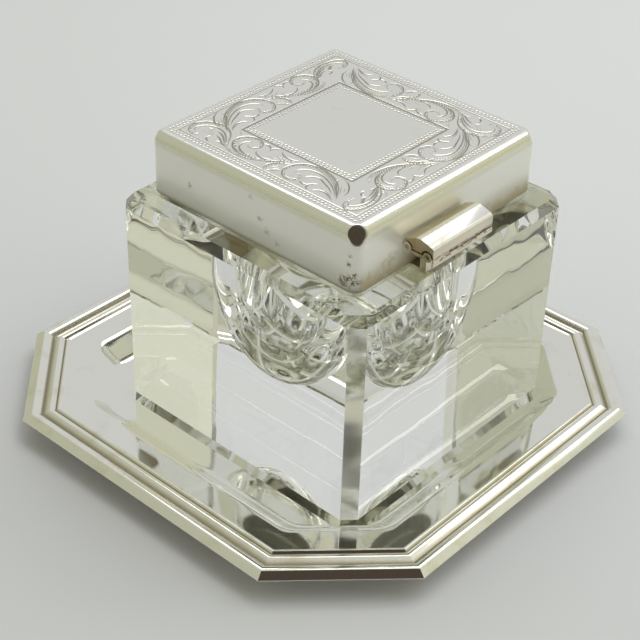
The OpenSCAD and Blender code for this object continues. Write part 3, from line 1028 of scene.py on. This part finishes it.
# --- Hinge ----------------------------------------------------------------------------------
# A double hinge of silver: a leaf stands on the collar and a bearer is soldered to the lid's
# wall. Each carries two short tubes, and a tube of the link turns between them on a pin of
# drawn wire.
hinge_silver = Silver("hinge_silver", (0.86, 0.82, 0.70), 0.10, (0.42, 0.33, 0.16), 0.45).done()
pin_wire = Silver("pin_wire", (0.62, 0.52, 0.33), 0.25, (0.20, 0.15, 0.08), 0.5).done()
refinish(hinge_silver, "hinge_leaf", "leaf_knuckles", "link_knuckles", "lid_bearer",
         "lid_knuckles")
refinish(pin_wire, "lid_pin", "collar_pin")

# --- Hinge link -----------------------------------------------------------------------------
# One casting of silver that roofs both pins, with a tall outer wall. It was filed by hand,
# bevelled at the ends and bored for the tubes, and has pits and a crack along the wall.
link_low, link_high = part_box("hinge_link")
middle_low, middle_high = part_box("link_knuckles")
# Its section, as distance out from the lid's wall, height over the glass and rounding, in mm
link_section = filleted([
    (0.6, 7.4, 0), (0.6, 9.25, 0.15), (3.4, 10.5, 0.2), (4.6, 10.6, 0.15), (7.5, 9.7, 0.2),
    (8.2, 9.1, 0.35), (8.2, 6.45, 0), (8.0, 6.25, 0), (8.2, 6.05, 0), (8.2, 5.0, 0.1),
    (7.9, 5.0, 0.1), (7.9, 7.4, 0),
])
end_bevel = 0.15
under_roof = Vector((4.4, 8.6))
bevelled_above = 7.5
link_points = []
for x, shrink in ((link_low.x, end_bevel), (link_low.x + end_bevel * mm, 0),
                  (link_high.x - end_bevel * mm, 0), (link_high.x, end_bevel)):
    for spot in link_section:
        # The ends are filed in a little, towards the middle of the roof
        inward = (under_roof - spot).normalized() * shrink * (spot.y > bevelled_above)
        link_points.append((x, lid_high.y + (spot.x + inward.x) * mm,
                            glass_high.z + (spot.y + inward.y) * mm))
link_count = len(link_section)
link_faces = bands([range(link_count)] * 4)
link_faces.append(tuple(range(link_count)))
link_faces.append(tuple(range(3 * link_count, 4 * link_count)))
link_silver = Silver("link_silver", (0.93, 0.91, 0.87), 0.25, (0.62, 0.53, 0.32), 0.25)
link_x = link_silver.coordinate("X")
link_out = link_silver.coordinate("Y") - lid_high.y
link_up = link_silver.coordinate("Z") - glass_high.z
# Brown in the roof's inner slope, dark pits and a crack along the outer wall
inner_slope = link_silver.step(link_out, 3.7 * mm, 3.1 * mm)
link_silver.tarnish(inner_slope * 0.8, (0.62, 0.54, 0.32), 0.15)
pits = link_silver.noise(link_silver.stretched(link_silver.point, 0.4, 1.0, 1.0), 0.35 * mm, 3.0)
wander = link_silver.noise(link_silver.point, 2.5 * mm, 2.0) - 0.5
crack_height = 6.55 * mm
off_crack = abs(link_up - crack_height + wander * (0.8 * mm))
on_wall = link_silver.step(link_out, 7.95 * mm, 8.1 * mm)
crack_ends = link_silver.step(link_x, 9.5 * mm, 7.5 * mm)
crack = link_silver.step(off_crack, 0.34 * mm, 0.12 * mm) * crack_ends
pitted = link_silver.step(pits, 0.50, 0.58) * link_silver.step(off_crack, 1.0 * mm, 0.5 * mm)
link_silver.tarnish(on_wall * 0.6, (0.72, 0.62, 0.42), 0.06)
link_silver.tarnish(on_wall * pitted * 0.85, (0.20, 0.13, 0.06), 0.2)
link_silver.tarnish(on_wall * crack, (0.05, 0.035, 0.02), 0.3)
# Brown at the ends, and painted shade round the tubes, where the gap round each tube lies in shadow
at_end = link_silver.step(link_x, link_high.x - 0.12 * mm, link_high.x)
link_silver.tarnish(at_end * 0.8, (0.50, 0.39, 0.21), 0.1)
pins = [(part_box(node)[0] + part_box(node)[1]) / 2 for node in ("lid_pin", "collar_pin")]
seat = 1.14 * mm
play = 0.3 * mm
painted_shade_ring = 0.14 * mm
# A ring of painted shade round the bore of each tube
for pin in pins:
    link_silver.tarnish(link_silver.around(pin.y, pin.z, seat + play + painted_shade_ring),
                        (0.10, 0.07, 0.035), 0.3)
link = piece("double_hinge_link", link_points, link_faces, "link", "hinge_silver",
             link_silver.done(), "hinge_link", sharp=35)
# A close seat for the middle tube, and a wider one with play for the tubes at the ends
past_end = 1 * mm
past_tube = 0.1 * mm
drills = []
for pin in pins:
    for start, stop, radius in (
            (link_low.x - past_end, link_high.x + past_end, seat),
            (link_low.x - past_end, middle_low.x - past_tube, seat + play),
            (middle_high.x + past_tube, link_high.x + past_end, seat + play)):
        drill = bmesh.new()
        bmesh.ops.create_cone(
            drill, cap_ends=True, segments=48, radius1=radius, radius2=radius, depth=stop - start,
            matrix=Matrix.Translation(((start + stop) / 2, pin.y, pin.z))
            @ Matrix.Rotation(math.radians(90), 4, "Y"))
        drills.append(turned_out("drill", drill))
bored_link = bore_out(link, drills)
bored_link.shade_smooth()
bored_link.set_sharp_from_angle(angle=math.radians(35))
